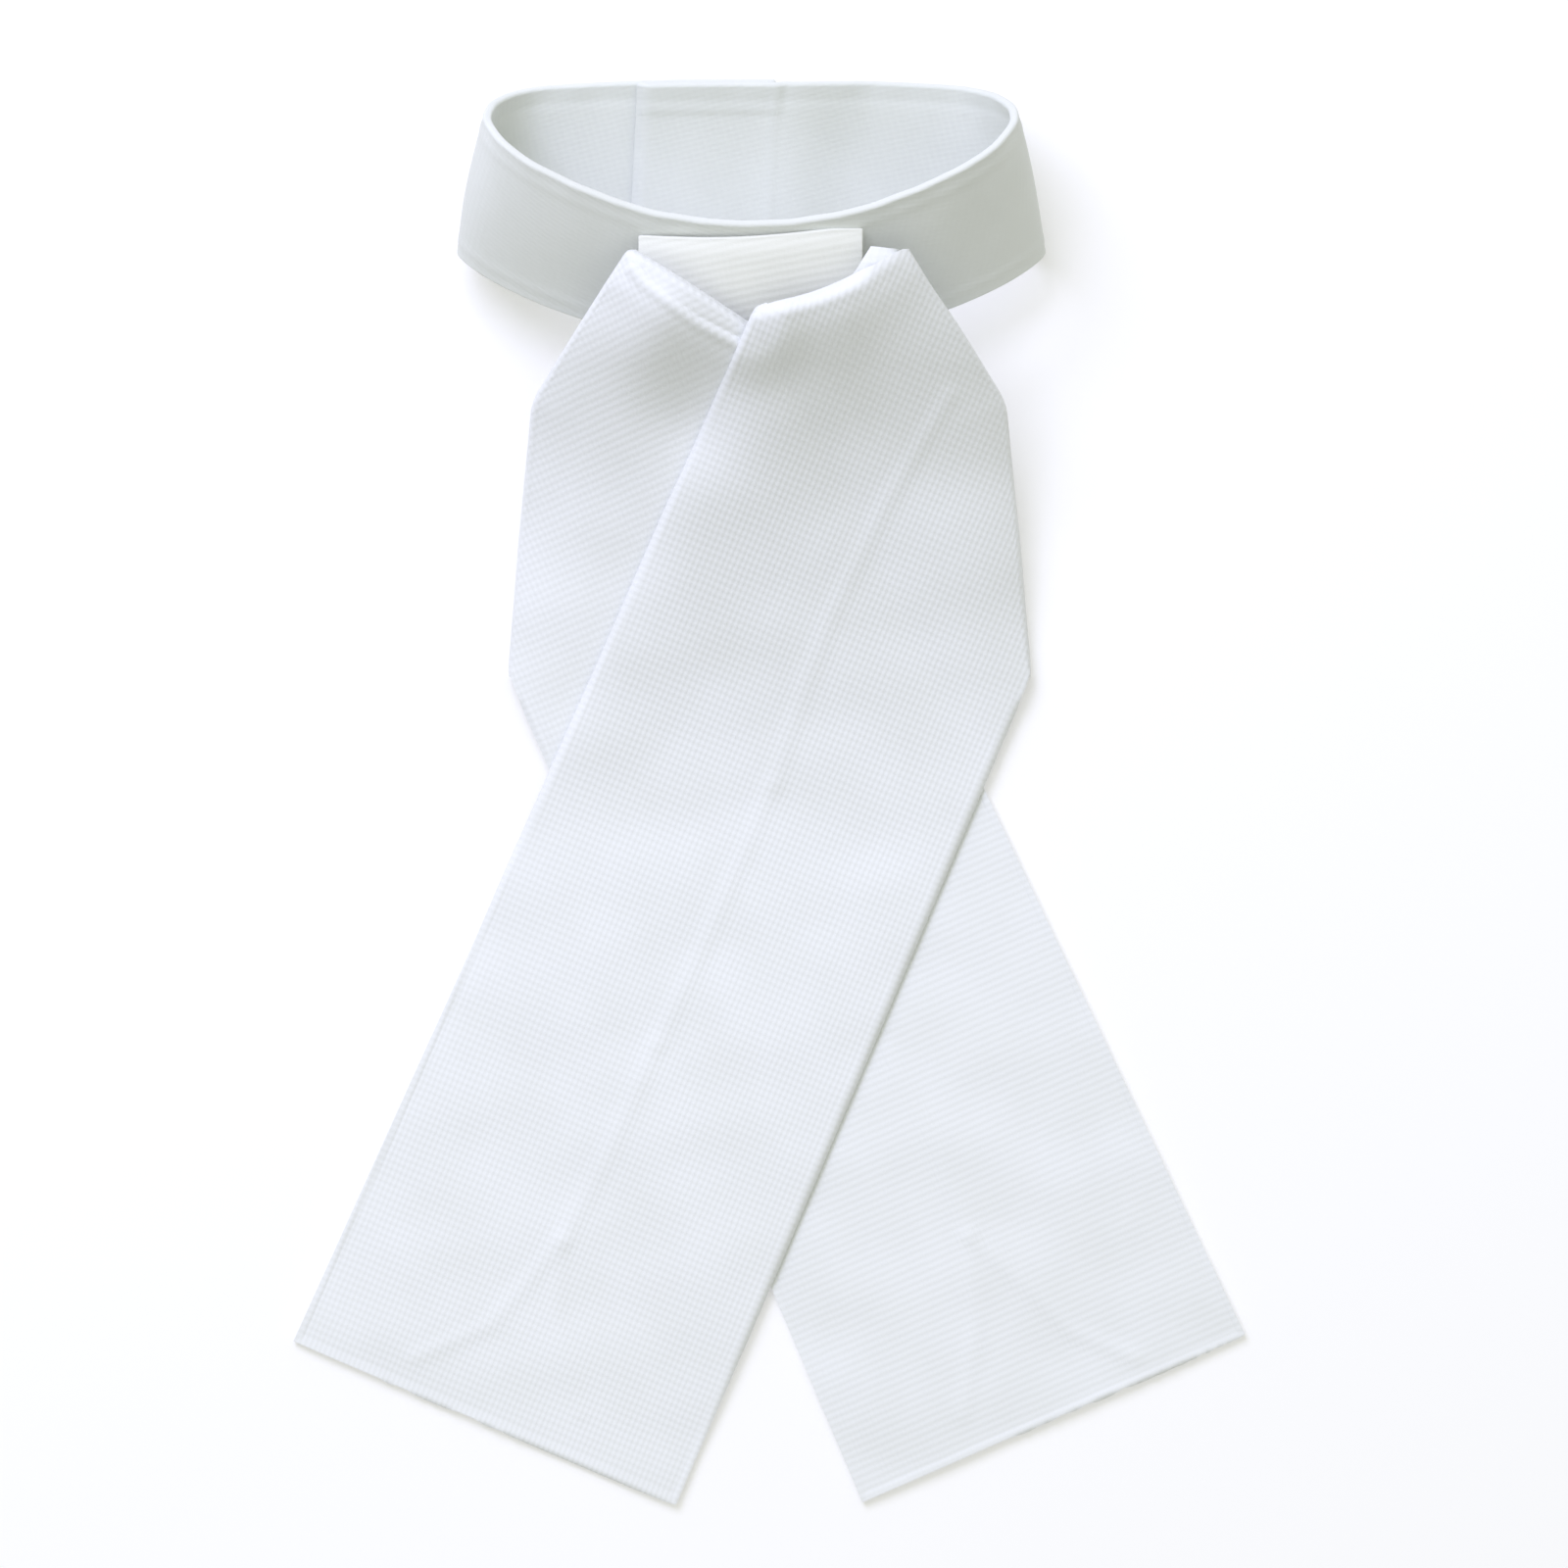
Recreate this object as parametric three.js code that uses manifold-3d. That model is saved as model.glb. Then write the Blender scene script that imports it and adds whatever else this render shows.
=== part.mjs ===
// A ready-tied riding cravat (stock tie) in white ribbed cotton, lying as it is laid out on a table.
// Millimetres. +X is the viewer's right, +Y runs from the tail ends up to the neckband, +Z is up.
// The origin is on the table, under the middle of the whole outline.

import * as THREE from 'three';
import { mergeVertices } from 'three/addons/utils/BufferGeometryUtils.js';
import Module from 'manifold-3d';

const wasm = await Module();
wasm.setup();

// Driving dimensions
const tailThickness = 1.6;      // two layers of cloth and a thin interlining
const rearThickness = 1.5;      // the layer that turns under at the shoulder
const bandThickness = 2.0;      // the neckband is folded over and stitched
const yokeThickness = 1.8;
const patchThickness = 1.2;     // hook-and-loop between the overlapped band ends
const clearance = 0.35;         // air between pieces that lie on each other
const bandCentreX = -4.5;       // the neckband lies a little left of the crossing
const overlapEndX = 28.5;       // how far the inner end reaches left of the band's centre
const overlapStartX = 6.2;      // how far the outer end reaches right of the band's centre
const endSlant = 2.5;           // the inner end of the band is cut a little askew
const settleFrom = 3;           // past the outer end by this much, the inner layer starts to come down
const settleTo = 26;            // and here it is in line with the rest of the band
const foldGap = 0.9;            // space inside the soft fold at a tail's shoulder
const crossingGap = 0.65;       // the crisp cloth bridges a little where one tail lies over the other
const layerPitch = tailThickness + clearance;
const foldRadius = (layerPitch + foldGap) / 2;

// Half of the neckband, from the middle of the back to the middle of the front.
// Distances in x are from the band's centre line; the rim is its upper edge, the foot its lower edge.
const bandRows = [
  { rimX: 0.0, rimY: 180.9, rimZ: 12.0, footX: 0.0, footY: 141.0, footZ: 1.0 },
  { rimX: 22.0, rimY: 180.7, rimZ: 12.0, footX: 24.0, footY: 140.8, footZ: 1.0 },
  { rimX: 42.0, rimY: 179.9, rimZ: 12.2, footX: 47.5, footY: 140.5, footZ: 1.0 },
  { rimX: 55.5, rimY: 178.5, rimZ: 14.5, footX: 63.0, footY: 139.9, footZ: 1.5 },
  { rimX: 62.9, rimY: 175.0, rimZ: 23.0, footX: 70.9, footY: 138.9, footZ: 4.5 },
  { rimX: 65.5, rimY: 169.7, rimZ: 34.5, footX: 73.5, footY: 136.9, footZ: 10.5 },
  { rimX: 62.8, rimY: 163.7, rimZ: 43.0, footX: 70.4, footY: 133.4, footZ: 15.8 },
  { rimX: 56.0, rimY: 157.6, rimZ: 47.2, footX: 62.6, footY: 128.4, footZ: 18.6 },
  { rimX: 43.8, rimY: 151.1, rimZ: 49.0, footX: 48.3, footY: 122.1, footZ: 19.8 },
  { rimX: 24.3, rimY: 144.1, rimZ: 49.8, footX: 25.8, footY: 115.5, footZ: 19.9 },
  { rimX: 0.0, rimY: 141.3, rimZ: 50.0, footX: 0.0, footY: 112.5, footZ: 20.2 },
];

// The slope that the tails lie on: from the rim it follows the yoke, which stands off the band, then
// it bends down over a knee and runs out on the table.
const slope = {
  rimY: 138.5,
  kneeY: 116.4,
  kneeZ: 44.6,
  tableY: -45,         // from here on the tails lie flat
  yokeRise: 0.3,       // millimetres up for each millimetre towards the rim, above the knee
  rise: 0.8,           // and just below it
  softness: 4,         // the length over which the one passes into the other
  crownAtKnee: 0.0040, // how fast the slope falls away to its sides, per square millimetre
  crownAtRim: 0.0055,
};

// Front layer of each tail, from its top edge down to its end. The outer side is the folded
// shoulder side, the inner side is the long edge that crosses the middle.
const overTailRows = [
  { outerX: 34.0, outerY: 133.0, innerX: -3.1, innerY: 120.0, bow: 2.4, steps: 6 },
  { outerX: 46.4, outerY: 116.5, innerX: -7.7, innerY: 109.8, bow: 1.0, steps: 3 },
  { outerX: 58.9, outerY: 98.3, innerX: -12.6, innerY: 99.7, bow: 0.0, steps: 4 },
  { outerX: 62.9, outerY: 64.8, innerX: -19.2, innerY: 85.1, bow: 0.0, steps: 4 },
  { outerX: 66.1, outerY: 30.0, innerX: -26.3, innerY: 70.4, bow: 0.0, steps: 14 },
  { outerX: -23.8, outerY: -180.9, innerX: -121.2, innerY: -139.3, bow: 0.0, steps: 0 },
];
const underTailRows = [
  { outerX: -34.4, outerY: 133.6, innerX: -4.0, innerY: 115.4, bow: 0.0, steps: 6 },
  { outerX: -46.3, outerY: 116.5, innerX: 1.6, innerY: 105.9, bow: 0.0, steps: 3 },
  { outerX: -58.8, outerY: 98.3, innerX: 6.9, innerY: 97.2, bow: 0.0, steps: 4 },
  { outerX: -62.7, outerY: 64.8, innerX: 15.5, innerY: 81.8, bow: 0.0, steps: 4 },
  { outerX: -65.8, outerY: 30.0, innerX: 25.3, innerY: 62.9, bow: 0.0, steps: 14 },
  { outerX: 23.8, outerY: -180.3, innerX: 121.2, innerY: -137.6, bow: 0.0, steps: 0 },
];

// Crest of the soft roll along each tail's top edge, where the cloth comes over from behind
const overCrest = {
  height: 3.0,
  reach: 8,
  path: [{ x: 31.8, y: 130.0 }, { x: 17.2, y: 122.0 }, { x: -2.0, y: 117.5 }],
};
const underCrest = {
  height: 2.6,
  reach: 8,
  path: [
    { x: -34.5, y: 132.0 },
    { x: -31.3, y: 126.0 },
    { x: -24.5, y: 120.5 },
    { x: -18.5, y: 116.0 },
    { x: -10.7, y: 112.4 },
    { x: -4.0, y: 110.0 },
  ],
};
const rollRadius = 3.2;          // the top edge is rounded off over this length

// Rear layer of each tail, which turns under at the shoulder. Its free edge is hidden behind the
// front layer, apart from its top edge.
const overFlapRows = [
  { outerX: 34.0, outerY: 134.2, innerX: 24.4, innerY: 134.4, steps: 2 },
  { outerX: 39.0, outerY: 127.0, innerX: 18.9, innerY: 125.3, steps: 3 },
  { outerX: 46.4, outerY: 116.4, innerX: 16.5, innerY: 114.1, steps: 3 },
  { outerX: 58.9, outerY: 98.2, innerX: 23.6, innerY: 92.6, steps: 4 },
  { outerX: 62.8, outerY: 64.8, innerX: 40.9, innerY: 60.4, steps: 4 },
  { outerX: 66.0, outerY: 31.4, innerX: 62.5, innerY: 31.7, steps: 0 },
];
const underFlapRows = [
  { outerX: -34.3, outerY: 133.2, innerX: -4.6, innerY: 115.0, steps: 3 },
  { outerX: -46.2, outerY: 116.5, innerX: -12.6, innerY: 102.3, steps: 3 },
  { outerX: -58.8, outerY: 98.2, innerX: -22.5, innerY: 87.5, steps: 4 },
  { outerX: -62.7, outerY: 64.8, innerX: -41.0, innerY: 59.4, steps: 4 },
  { outerX: -65.7, outerY: 31.4, innerX: -62.4, innerY: 31.7, steps: 0 },
];

// The foot and top of the patch are parts of the band's height.
const patch = { foot: 0.2, top: 0.8, margin: 2.5, steps: 6, columns: 3 };
const yoke = {
  halfWidth: 27.6,
  footY: 111.5,
  leftTopY: 138.4,
  rightTopY: 140.1,
  underSlope: 0.8,     // air between it and the lowest tail layer
  steps: 12,
  columns: 8,
};

const white = { color: 0xf4f5f3, roughness: 0.9, metalness: 0.0 };
const frontColumns = 12;
const rearColumns = 6;
const foldSteps = 5;
const bandSteps = 66;
const bandColumns = 3;
const fullCover = 5;             // a layer stays up this far beside the edge of one beneath it
const draping = 22;              // and has come down again this far beside it
const crestPressed = 0.6;        // share of the over tail's roll that is pressed flat on the other tail
const rollCrowding = 2;          // the rows crowd towards the rolled top edge
const edgeSteps = 6;             // straight pieces in the bowed top edge

const edgeInset = 0.8;           // a sheet's faces end this part of its half thickness inside its edge
const mostInset = 0.5;           // but never further than this part of the last cell

// A sheet of cloth from a grid of points on its middle surface, closed with a rounded edge.
function clothSheet(grid, thickness) {
  const rows = grid.length;
  const columns = grid[0].length;
  const half = thickness / 2;
  const normal = (i, j) => {
    const along = grid[Math.min(i + 1, rows - 1)][j].clone().sub(grid[Math.max(i - 1, 0)][j]);
    const across = grid[i][Math.min(j + 1, columns - 1)].clone().sub(grid[i][Math.max(j - 1, 0)]);
    return along.cross(across).normalize();
  };
  const inset = (i, j) => {
    const point = grid[i][j].clone();
    const inner = grid[Math.min(Math.max(i, 1), rows - 2)][Math.min(Math.max(j, 1), columns - 2)];
    const inward = inner.clone().sub(point);
    const reach = inward.length();
    return reach > 0 ? point.addScaledVector(inward, Math.min(half * edgeInset / reach, mostInset)) : point;
  };
  const positions = [];
  const push = (point) => {
    positions.push(point.x, point.y, point.z);
    return positions.length / 3 - 1;
  };
  const top = grid.map((row, i) => row.map((_, j) => push(inset(i, j).addScaledVector(normal(i, j), half))));
  const bottom = grid.map((row, i) => row.map((_, j) => push(inset(i, j).addScaledVector(normal(i, j), -half))));
  const indices = [];
  for (let i = 0; i < rows - 1; i += 1) {
    for (let j = 0; j < columns - 1; j += 1) {
      indices.push(top[i][j], top[i + 1][j], top[i + 1][j + 1], top[i][j], top[i + 1][j + 1], top[i][j + 1]);
      indices.push(bottom[i][j], bottom[i + 1][j + 1], bottom[i + 1][j]);
      indices.push(bottom[i][j], bottom[i][j + 1], bottom[i + 1][j + 1]);
    }
  }
  const around = [];
  for (let j = 0; j < columns; j += 1) around.push([0, j]);
  for (let i = 1; i < rows; i += 1) around.push([i, columns - 1]);
  for (let j = columns - 2; j >= 0; j -= 1) around.push([rows - 1, j]);
  for (let i = rows - 2; i > 0; i -= 1) around.push([i, 0]);
  const edge = around.map(([i, j]) => push(grid[i][j]));
  around.forEach(([i, j], k) => {
    const next = (k + 1) % around.length;
    const [m, n] = around[next];
    indices.push(top[i][j], top[m][n], edge[next], top[i][j], edge[next], edge[k]);
    indices.push(edge[k], edge[next], bottom[m][n], edge[k], bottom[m][n], bottom[i][j]);
  });
  const geometry = new THREE.BufferGeometry();
  geometry.setAttribute('position', new THREE.Float32BufferAttribute(positions, 3));
  geometry.setIndex(indices);
  return geometry;
}

// Joins two closed sheets into one body.
function joined(first, second) {
  const solids = [first, second].map((geometry) => {
    const merged = mergeVertices(geometry, 1e-4);
    return new wasm.Manifold(new wasm.Mesh({
      numProp: 3,
      vertProperties: new Float32Array(merged.attributes.position.array),
      triVerts: new Uint32Array(merged.index.array),
    }));
  });
  const mesh = solids[0].add(solids[1]).getMesh();
  const geometry = new THREE.BufferGeometry();
  geometry.setAttribute('position', new THREE.Float32BufferAttribute(mesh.vertProperties, 3));
  geometry.setIndex([...mesh.triVerts]);
  return geometry;
}

// Underside of the lowest tail layer
function slopeHeight(x, y) {
  const reach = slope.kneeY - slope.tableY;
  const power = slope.rise * reach / slope.kneeZ;
  const pastKnee = y - slope.kneeY;
  const towardsRim = THREE.MathUtils.clamp(pastKnee / (slope.rimY - slope.kneeY), 0, 1);
  const bend = (slope.rise - slope.yokeRise) * slope.softness * (1 - Math.exp(-pastKnee / slope.softness));
  const height = pastKnee > 0
    ? slope.kneeZ + slope.yokeRise * pastKnee + bend
    : slope.kneeZ * (Math.max(y - slope.tableY, 0) / reach) ** power;
  const crown = slope.crownAtKnee * Math.min(height / slope.kneeZ, 1)
    + (slope.crownAtRim - slope.crownAtKnee) * towardsRim;
  return height - crown * (x - bandCentreX) ** 2;
}

// How much longer an upright offset from the slope is than a square one
function stretchUp(x, y) {
  const probe = 0.5;
  const slopeX = (slopeHeight(x + probe, y) - slopeHeight(x - probe, y)) / (2 * probe);
  const slopeY = (slopeHeight(x, y + probe) - slopeHeight(x, y - probe)) / (2 * probe);
  return Math.hypot(1, slopeX, slopeY);
}

function distanceTo(path, x, y) {
  let nearest = Infinity;
  path.slice(1).forEach((to, k) => {
    const from = path[k];
    const [dx, dy] = [to.x - from.x, to.y - from.y];
    const along = ((x - from.x) * dx + (y - from.y) * dy) / (dx ** 2 + dy ** 2);
    const part = THREE.MathUtils.clamp(along, 0, 1);
    nearest = Math.min(nearest, Math.hypot(x - from.x - part * dx, y - from.y - part * dy));
  });
  return nearest;
}

function ridge(crest, x, y) {
  return crest.height * Math.exp(-((distanceTo(crest.path, x, y) / crest.reach) ** 2));
}

// A point on the line across one of a tail's rows, from its inner side at 0 to its outer side at 1
function acrossRow(row, part, outerX = row.outerX) {
  return {
    x: row.innerX + (outerX - row.innerX) * part,
    y: row.innerY + (row.outerY - row.innerY) * part - (row.bow ?? 0) * Math.sin(Math.PI * part),
  };
}

// 0 at a tail's top edge, rising as a quarter circle to 1 inside it
function roll(rows, x, y) {
  const edge = [];
  for (let k = 0; k <= edgeSteps; k += 1) edge.push(acrossRow(rows[0], k / edgeSteps));
  const inside = Math.min(distanceTo(edge, x, y) / rollRadius, 1);
  return Math.sqrt(1 - (1 - inside) ** 2);
}

// 1 over a layer seen from above, falling smoothly to 0 beside it
function cover(rows, x, y) {
  const outer = rows.map((row) => ({ x: row.outerX, y: row.outerY }));
  const inner = rows.map((row) => ({ x: row.innerX, y: row.innerY })).reverse();
  const closed = [...outer, ...inner, outer[0]];
  let inside = false;
  closed.slice(1).forEach((to, k) => {
    const from = closed[k];
    const crossing = (to.x - from.x) * (y - from.y) / (to.y - from.y) + from.x;
    if ((from.y > y) !== (to.y > y) && x < crossing) inside = !inside;
  });
  return inside ? 1 : 1 - THREE.MathUtils.smoothstep(distanceTo(closed, x, y), fullCover, draping);
}

// The larger of two heights, with no crease where they meet
function softMax(first, second) {
  const sharpness = 4;
  return (first ** sharpness + second ** sharpness) ** (1 / sharpness);
}

// How far the underside of each layer is above the slope, square to it
const layerOffset = {
  underRear: () => 0,
  underFront: (x, y) => {
    const overFlap = cover(underFlapRows, x, y);
    const lift = overFlap * foldGap + ridge(underCrest, x, y);
    return overFlap * layerPitch + lift * roll(underTailRows, x, y);
  },
  overRear: () => 0,
  overFront: (x, y) => {
    const overTail = cover(underTailRows, x, y);
    const overFlap = cover(overFlapRows, x, y);
    const resting = softMax(overTail * (layerOffset.underFront(x, y) + layerPitch), overFlap * layerPitch);
    const crest = ridge(overCrest, x, y) * (1 - crestPressed * overTail);
    const air = Math.max(overTail * crossingGap, overFlap * foldGap);
    return resting + (air + crest) * roll(overTailRows, x, y);
  },
};

function layerPoint(layer, x, y) {
  const offset = tailThickness / 2 + layerOffset[layer](x, y);
  return new THREE.Vector3(x, y, slopeHeight(x, y) + offset * stretchUp(x, y));
}

// Steps between the table's rows, so that long stretches get more sections. A crowding above 1
// draws the first sections towards the top edge.
function spreadRows(rows, crowding) {
  const spread = [];
  rows.forEach((row, k) => {
    const next = rows[k + 1];
    for (let step = 0; step < row.steps; step += 1) {
      const part = (step / row.steps) ** (k === 0 ? crowding : 1);
      const mixed = {};
      Object.keys(row).forEach((key) => {
        mixed[key] = row[key] + (next[key] - row[key]) * part;
      });
      spread.push(mixed);
    }
  });
  spread.push(rows[rows.length - 1]);
  return spread;
}

// Places a table's rows as lines of points from the inner side to the outer side
function frontLayer(layer, rows, flapRows) {
  const flapEndY = flapRows[flapRows.length - 1].outerY;
  const side = Math.sign(rows[0].outerX);
  return spreadRows(rows, rollCrowding).map((row) => {
    const outerX = row.outerX - (row.outerY > flapEndY ? side * foldRadius : 0);
    const line = [];
    for (let j = 0; j <= frontColumns; j += 1) {
      const { x, y } = acrossRow(row, j / frontColumns, outerX);
      line.push(layerPoint(layer, x, y));
    }
    return line;
  });
}

// The fold at the shoulder and the layer behind it, from inside the front layer to the free edge
function rearLayer(frontName, rearName, rows) {
  const side = Math.sign(rows[0].outerX);
  return spreadRows(rows, 1).map((row) => {
    const x = row.outerX - side * foldRadius;
    const y = row.outerY;
    const high = layerPoint(frontName, x, y).z;
    const low = layerPoint(rearName, x, y).z;
    const line = [layerPoint(frontName, x - side * foldRadius, y)];
    for (let k = 0; k <= foldSteps; k += 1) {
      const turn = Math.PI * k / foldSteps;
      const z = (high + low) / 2 + (high - low) / 2 * Math.cos(turn);
      line.push(new THREE.Vector3(x + side * foldRadius * Math.sin(turn), y, z));
    }
    for (let j = 1; j <= rearColumns; j += 1) {
      const part = j / rearColumns;
      line.push(layerPoint(rearName, x + (row.innerX - x) * part, y + (row.innerY - y) * part));
    }
    return line;
  });
}

// The neckband's middle surface: 0 and 1 are the middle of the back, 0.5 the middle of the front
const loopRows = [
  ...bandRows,
  ...bandRows.slice(1, -1).reverse().map((row) => ({ ...row, rimX: -row.rimX, footX: -row.footX })),
];
const rimCurve = new THREE.CatmullRomCurve3(
  loopRows.map((row) => new THREE.Vector3(bandCentreX + row.rimX, row.rimY, row.rimZ)), true);
const footCurve = new THREE.CatmullRomCurve3(
  loopRows.map((row) => new THREE.Vector3(bandCentreX + row.footX, row.footY, row.footZ)), true);
const loopLength = (rimCurve.getLength() + footCurve.getLength()) / 2;

function bandPoint(turn, height, inward) {
  const wrapped = (at) => at - Math.floor(at);
  const rim = rimCurve.getPointAt(wrapped(turn));
  const foot = footCurve.getPointAt(wrapped(turn));
  const probe = 0.004;
  const ahead = footCurve.getPointAt(wrapped(turn + probe)).add(rimCurve.getPointAt(wrapped(turn + probe)));
  const behind = footCurve.getPointAt(wrapped(turn - probe)).add(rimCurve.getPointAt(wrapped(turn - probe)));
  const inwards = ahead.sub(behind).cross(rim.clone().sub(foot)).normalize();
  return foot.lerp(rim, height).addScaledVector(inwards, inward);
}

function neckband() {
  const start = -overlapEndX / loopLength;
  const end = 1 + overlapStartX / loopLength;
  const raised = bandThickness + 2 * clearance + patchThickness;
  const grid = [];
  for (let i = 0; i <= bandSteps; i += 1) {
    const turn = start + (end - start) * i / bandSteps;
    const pastEnd = turn * loopLength - overlapStartX;
    const inward = raised * (1 - THREE.MathUtils.smoothstep(pastEnd, settleFrom, settleTo));
    const line = [];
    for (let j = 0; j <= bandColumns; j += 1) {
      const slant = endSlant / loopLength * (1 - j / bandColumns) * (1 - i / bandSteps);
      line.push(bandPoint(turn - slant, j / bandColumns, inward));
    }
    grid.push(line);
  }
  return clothSheet(grid, bandThickness);
}

// The pad between the overlapped ends, on the inner side of the outer one
function closurePatch() {
  const from = patch.margin - overlapEndX;
  const to = overlapStartX - patch.margin;
  const inward = (bandThickness + patchThickness) / 2 + clearance;
  const grid = [];
  for (let i = 0; i <= patch.steps; i += 1) {
    const turn = (from + (to - from) * i / patch.steps) / loopLength;
    const line = [];
    for (let j = 0; j <= patch.columns; j += 1) {
      line.push(bandPoint(turn, patch.foot + (patch.top - patch.foot) * j / patch.columns, inward));
    }
    grid.push(line);
  }
  return clothSheet(grid, patchThickness);
}

// The panel under the tails' top edges: its upper edge is stitched to the band just below the rim
function yokePanel() {
  const below = yoke.underSlope + yokeThickness / 2;
  const grid = [];
  for (let i = 0; i <= yoke.steps; i += 1) {
    const part = i / yoke.steps;
    const x = bandCentreX + yoke.halfWidth * (2 * part - 1);
    const topY = yoke.leftTopY + (yoke.rightTopY - yoke.leftTopY) * part;
    const line = [];
    for (let j = 0; j <= yoke.columns; j += 1) {
      const y = yoke.footY + (topY - yoke.footY) * j / yoke.columns;
      line.push(new THREE.Vector3(x, y, slopeHeight(x, y) - below * stretchUp(x, y)));
    }
    grid.push(line);
  }
  return clothSheet(grid, yokeThickness);
}

function namedMesh(name, geometry) {
  const mesh = new THREE.Mesh(geometry, new THREE.MeshStandardMaterial({ ...white, name }));
  mesh.name = name;
  return mesh;
}

const cravat = new THREE.Group();
cravat.add(namedMesh('neckband', neckband()));
cravat.add(namedMesh('closure_patch', closurePatch()));
cravat.add(namedMesh('yoke', yokePanel()));
cravat.add(namedMesh('under_tail', joined(
  clothSheet(frontLayer('underFront', underTailRows, underFlapRows), tailThickness),
  clothSheet(rearLayer('underFront', 'underRear', underFlapRows), rearThickness),
)));
cravat.add(namedMesh('over_tail', joined(
  clothSheet(frontLayer('overFront', overTailRows, overFlapRows), tailThickness),
  clothSheet(rearLayer('overFront', 'overRear', overFlapRows), rearThickness),
)));

export default cravat;
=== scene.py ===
# %% [markdown]
# # A ready-tied riding cravat, laid out on a table
#
# The cravat is a standing neckband that closes at the back, a small yoke on the front of it, and two
# long tails that are folded at the shoulder and crossed, all in white ribbed cotton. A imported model
# already gives every piece its place and size. This notebook dresses it: each piece becomes a sheet
# of cloth with rounded edges, folds and seams, and gets its weave.

# %% Load the frame
import math
from collections import namedtuple

import bmesh
import bpy
import numpy as np
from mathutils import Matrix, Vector


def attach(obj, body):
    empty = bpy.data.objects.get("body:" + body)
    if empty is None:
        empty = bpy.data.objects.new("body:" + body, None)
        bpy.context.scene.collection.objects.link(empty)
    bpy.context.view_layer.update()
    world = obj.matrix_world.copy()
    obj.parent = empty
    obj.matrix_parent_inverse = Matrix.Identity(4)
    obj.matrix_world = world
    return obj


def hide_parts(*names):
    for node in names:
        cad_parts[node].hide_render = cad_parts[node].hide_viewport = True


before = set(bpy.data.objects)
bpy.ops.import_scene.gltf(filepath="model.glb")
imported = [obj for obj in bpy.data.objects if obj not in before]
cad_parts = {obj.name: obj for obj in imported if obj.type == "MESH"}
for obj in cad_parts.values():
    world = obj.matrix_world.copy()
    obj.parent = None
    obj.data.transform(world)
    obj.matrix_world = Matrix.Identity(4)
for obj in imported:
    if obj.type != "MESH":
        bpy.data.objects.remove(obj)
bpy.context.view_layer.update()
MM = 0.001
print("packed pieces:", sorted(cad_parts))

# %% [markdown]
# ## The camera
#
# A flat thing is photographed from straight above. A long lens far away keeps its outline almost
# square to the picture, so a 135 mm lens at 1.5 m is used, and at that distance it takes in 400 mm.
# The camera looks down its own -Z, so it needs no turning, only its place over the cravat's middle.

# %% Camera
CAMERA_HEIGHT = 1.5
LENS = 135.0
VIEW_CENTRE = (0.00375, 0.0027)

camera_data = bpy.data.cameras.new("camera")
camera_data.lens = LENS
camera_data.clip_end = 20.0
camera = bpy.data.objects.new("camera", camera_data)
camera.location = (*VIEW_CENTRE, CAMERA_HEIGHT)
bpy.context.scene.collection.objects.link(camera)
bpy.context.scene.camera = camera
print("camera", CAMERA_HEIGHT, "m above the table, lens", LENS, "mm")

# %% [markdown]
# ## The table and the light
#
# White cloth on a white table shows only by its shading. The sky is a large soft light, brightest
# overhead and dim at the horizon. One broad lamp from behind and a little to the left adds crisper
# light for the ribs and folds, high enough to clear the neckband. Its colour is cooler than the sky's,
# so what faces it looks bluish and what turns away looks faintly green. The table top glows a
# little, as a light table does, so that it is white to its edges and the shadows on it are pale.

# %% Table and light
TABLE_SIZE = 6.0
TABLE_DROP = 0.0002
TABLE_COLOUR = (0.72, 0.72, 0.70, 1.0)
TABLE_ROUGHNESS = 0.9
TABLE_GLOW_COLOUR = (0.94, 0.93, 1.0, 1.0)
TABLE_GLOW = 0.27
SKY_COLOUR = (0.985, 1.0, 0.89, 1.0)
SKY_BASE = 0.21
SKY_TILT = (-0.03, 0.215, 0.765)
LAMP_COLOUR = (0.68, 0.69, 1.0)
LAMP_POWER = 18.0
LAMP_SIZE = 0.9
LAMP_DISTANCE = 1.6
LAMP_AZIMUTH = math.radians(119)
LAMP_ELEVATION = math.radians(49)

bm = bmesh.new()
bmesh.ops.create_grid(bm, x_segments=1, y_segments=1, size=TABLE_SIZE / 2)
bmesh.ops.translate(bm, verts=bm.verts, vec=(0, 0, -TABLE_DROP))
table_mesh = bpy.data.meshes.new("table_top")
bm.to_mesh(table_mesh)
bm.free()
table_top = bpy.data.objects.new("table_top", table_mesh)
bpy.context.scene.collection.objects.link(table_top)
table_paint = bpy.data.materials.new("table_white")
table_paint.use_nodes = True
table_shader = table_paint.node_tree.nodes["Principled BSDF"]
table_shader.inputs["Base Color"].default_value = TABLE_COLOUR
table_shader.inputs["Roughness"].default_value = TABLE_ROUGHNESS
table_shader.inputs["Emission Color"].default_value = TABLE_GLOW_COLOUR
table_shader.inputs["Emission Strength"].default_value = TABLE_GLOW
table_mesh.materials.append(table_paint)

world = bpy.data.worlds.new("sky")
world.use_nodes = True
sky_nodes = world.node_tree.nodes
sky_link = world.node_tree.links.new
direction = sky_nodes.new("ShaderNodeTexCoord")
towards_bright = sky_nodes.new("ShaderNodeVectorMath")
towards_bright.operation = "DOT_PRODUCT"
towards_bright.inputs[1].default_value = SKY_TILT
brightness = sky_nodes.new("ShaderNodeMath")
brightness.operation = "ADD"
brightness.inputs[1].default_value = SKY_BASE
not_negative = sky_nodes.new("ShaderNodeMath")
not_negative.operation = "MAXIMUM"
not_negative.inputs[1].default_value = 0
sky_nodes["Background"].inputs["Color"].default_value = SKY_COLOUR
sky_link(direction.outputs["Generated"], towards_bright.inputs[0])
sky_link(towards_bright.outputs["Value"], brightness.inputs[0])
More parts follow.
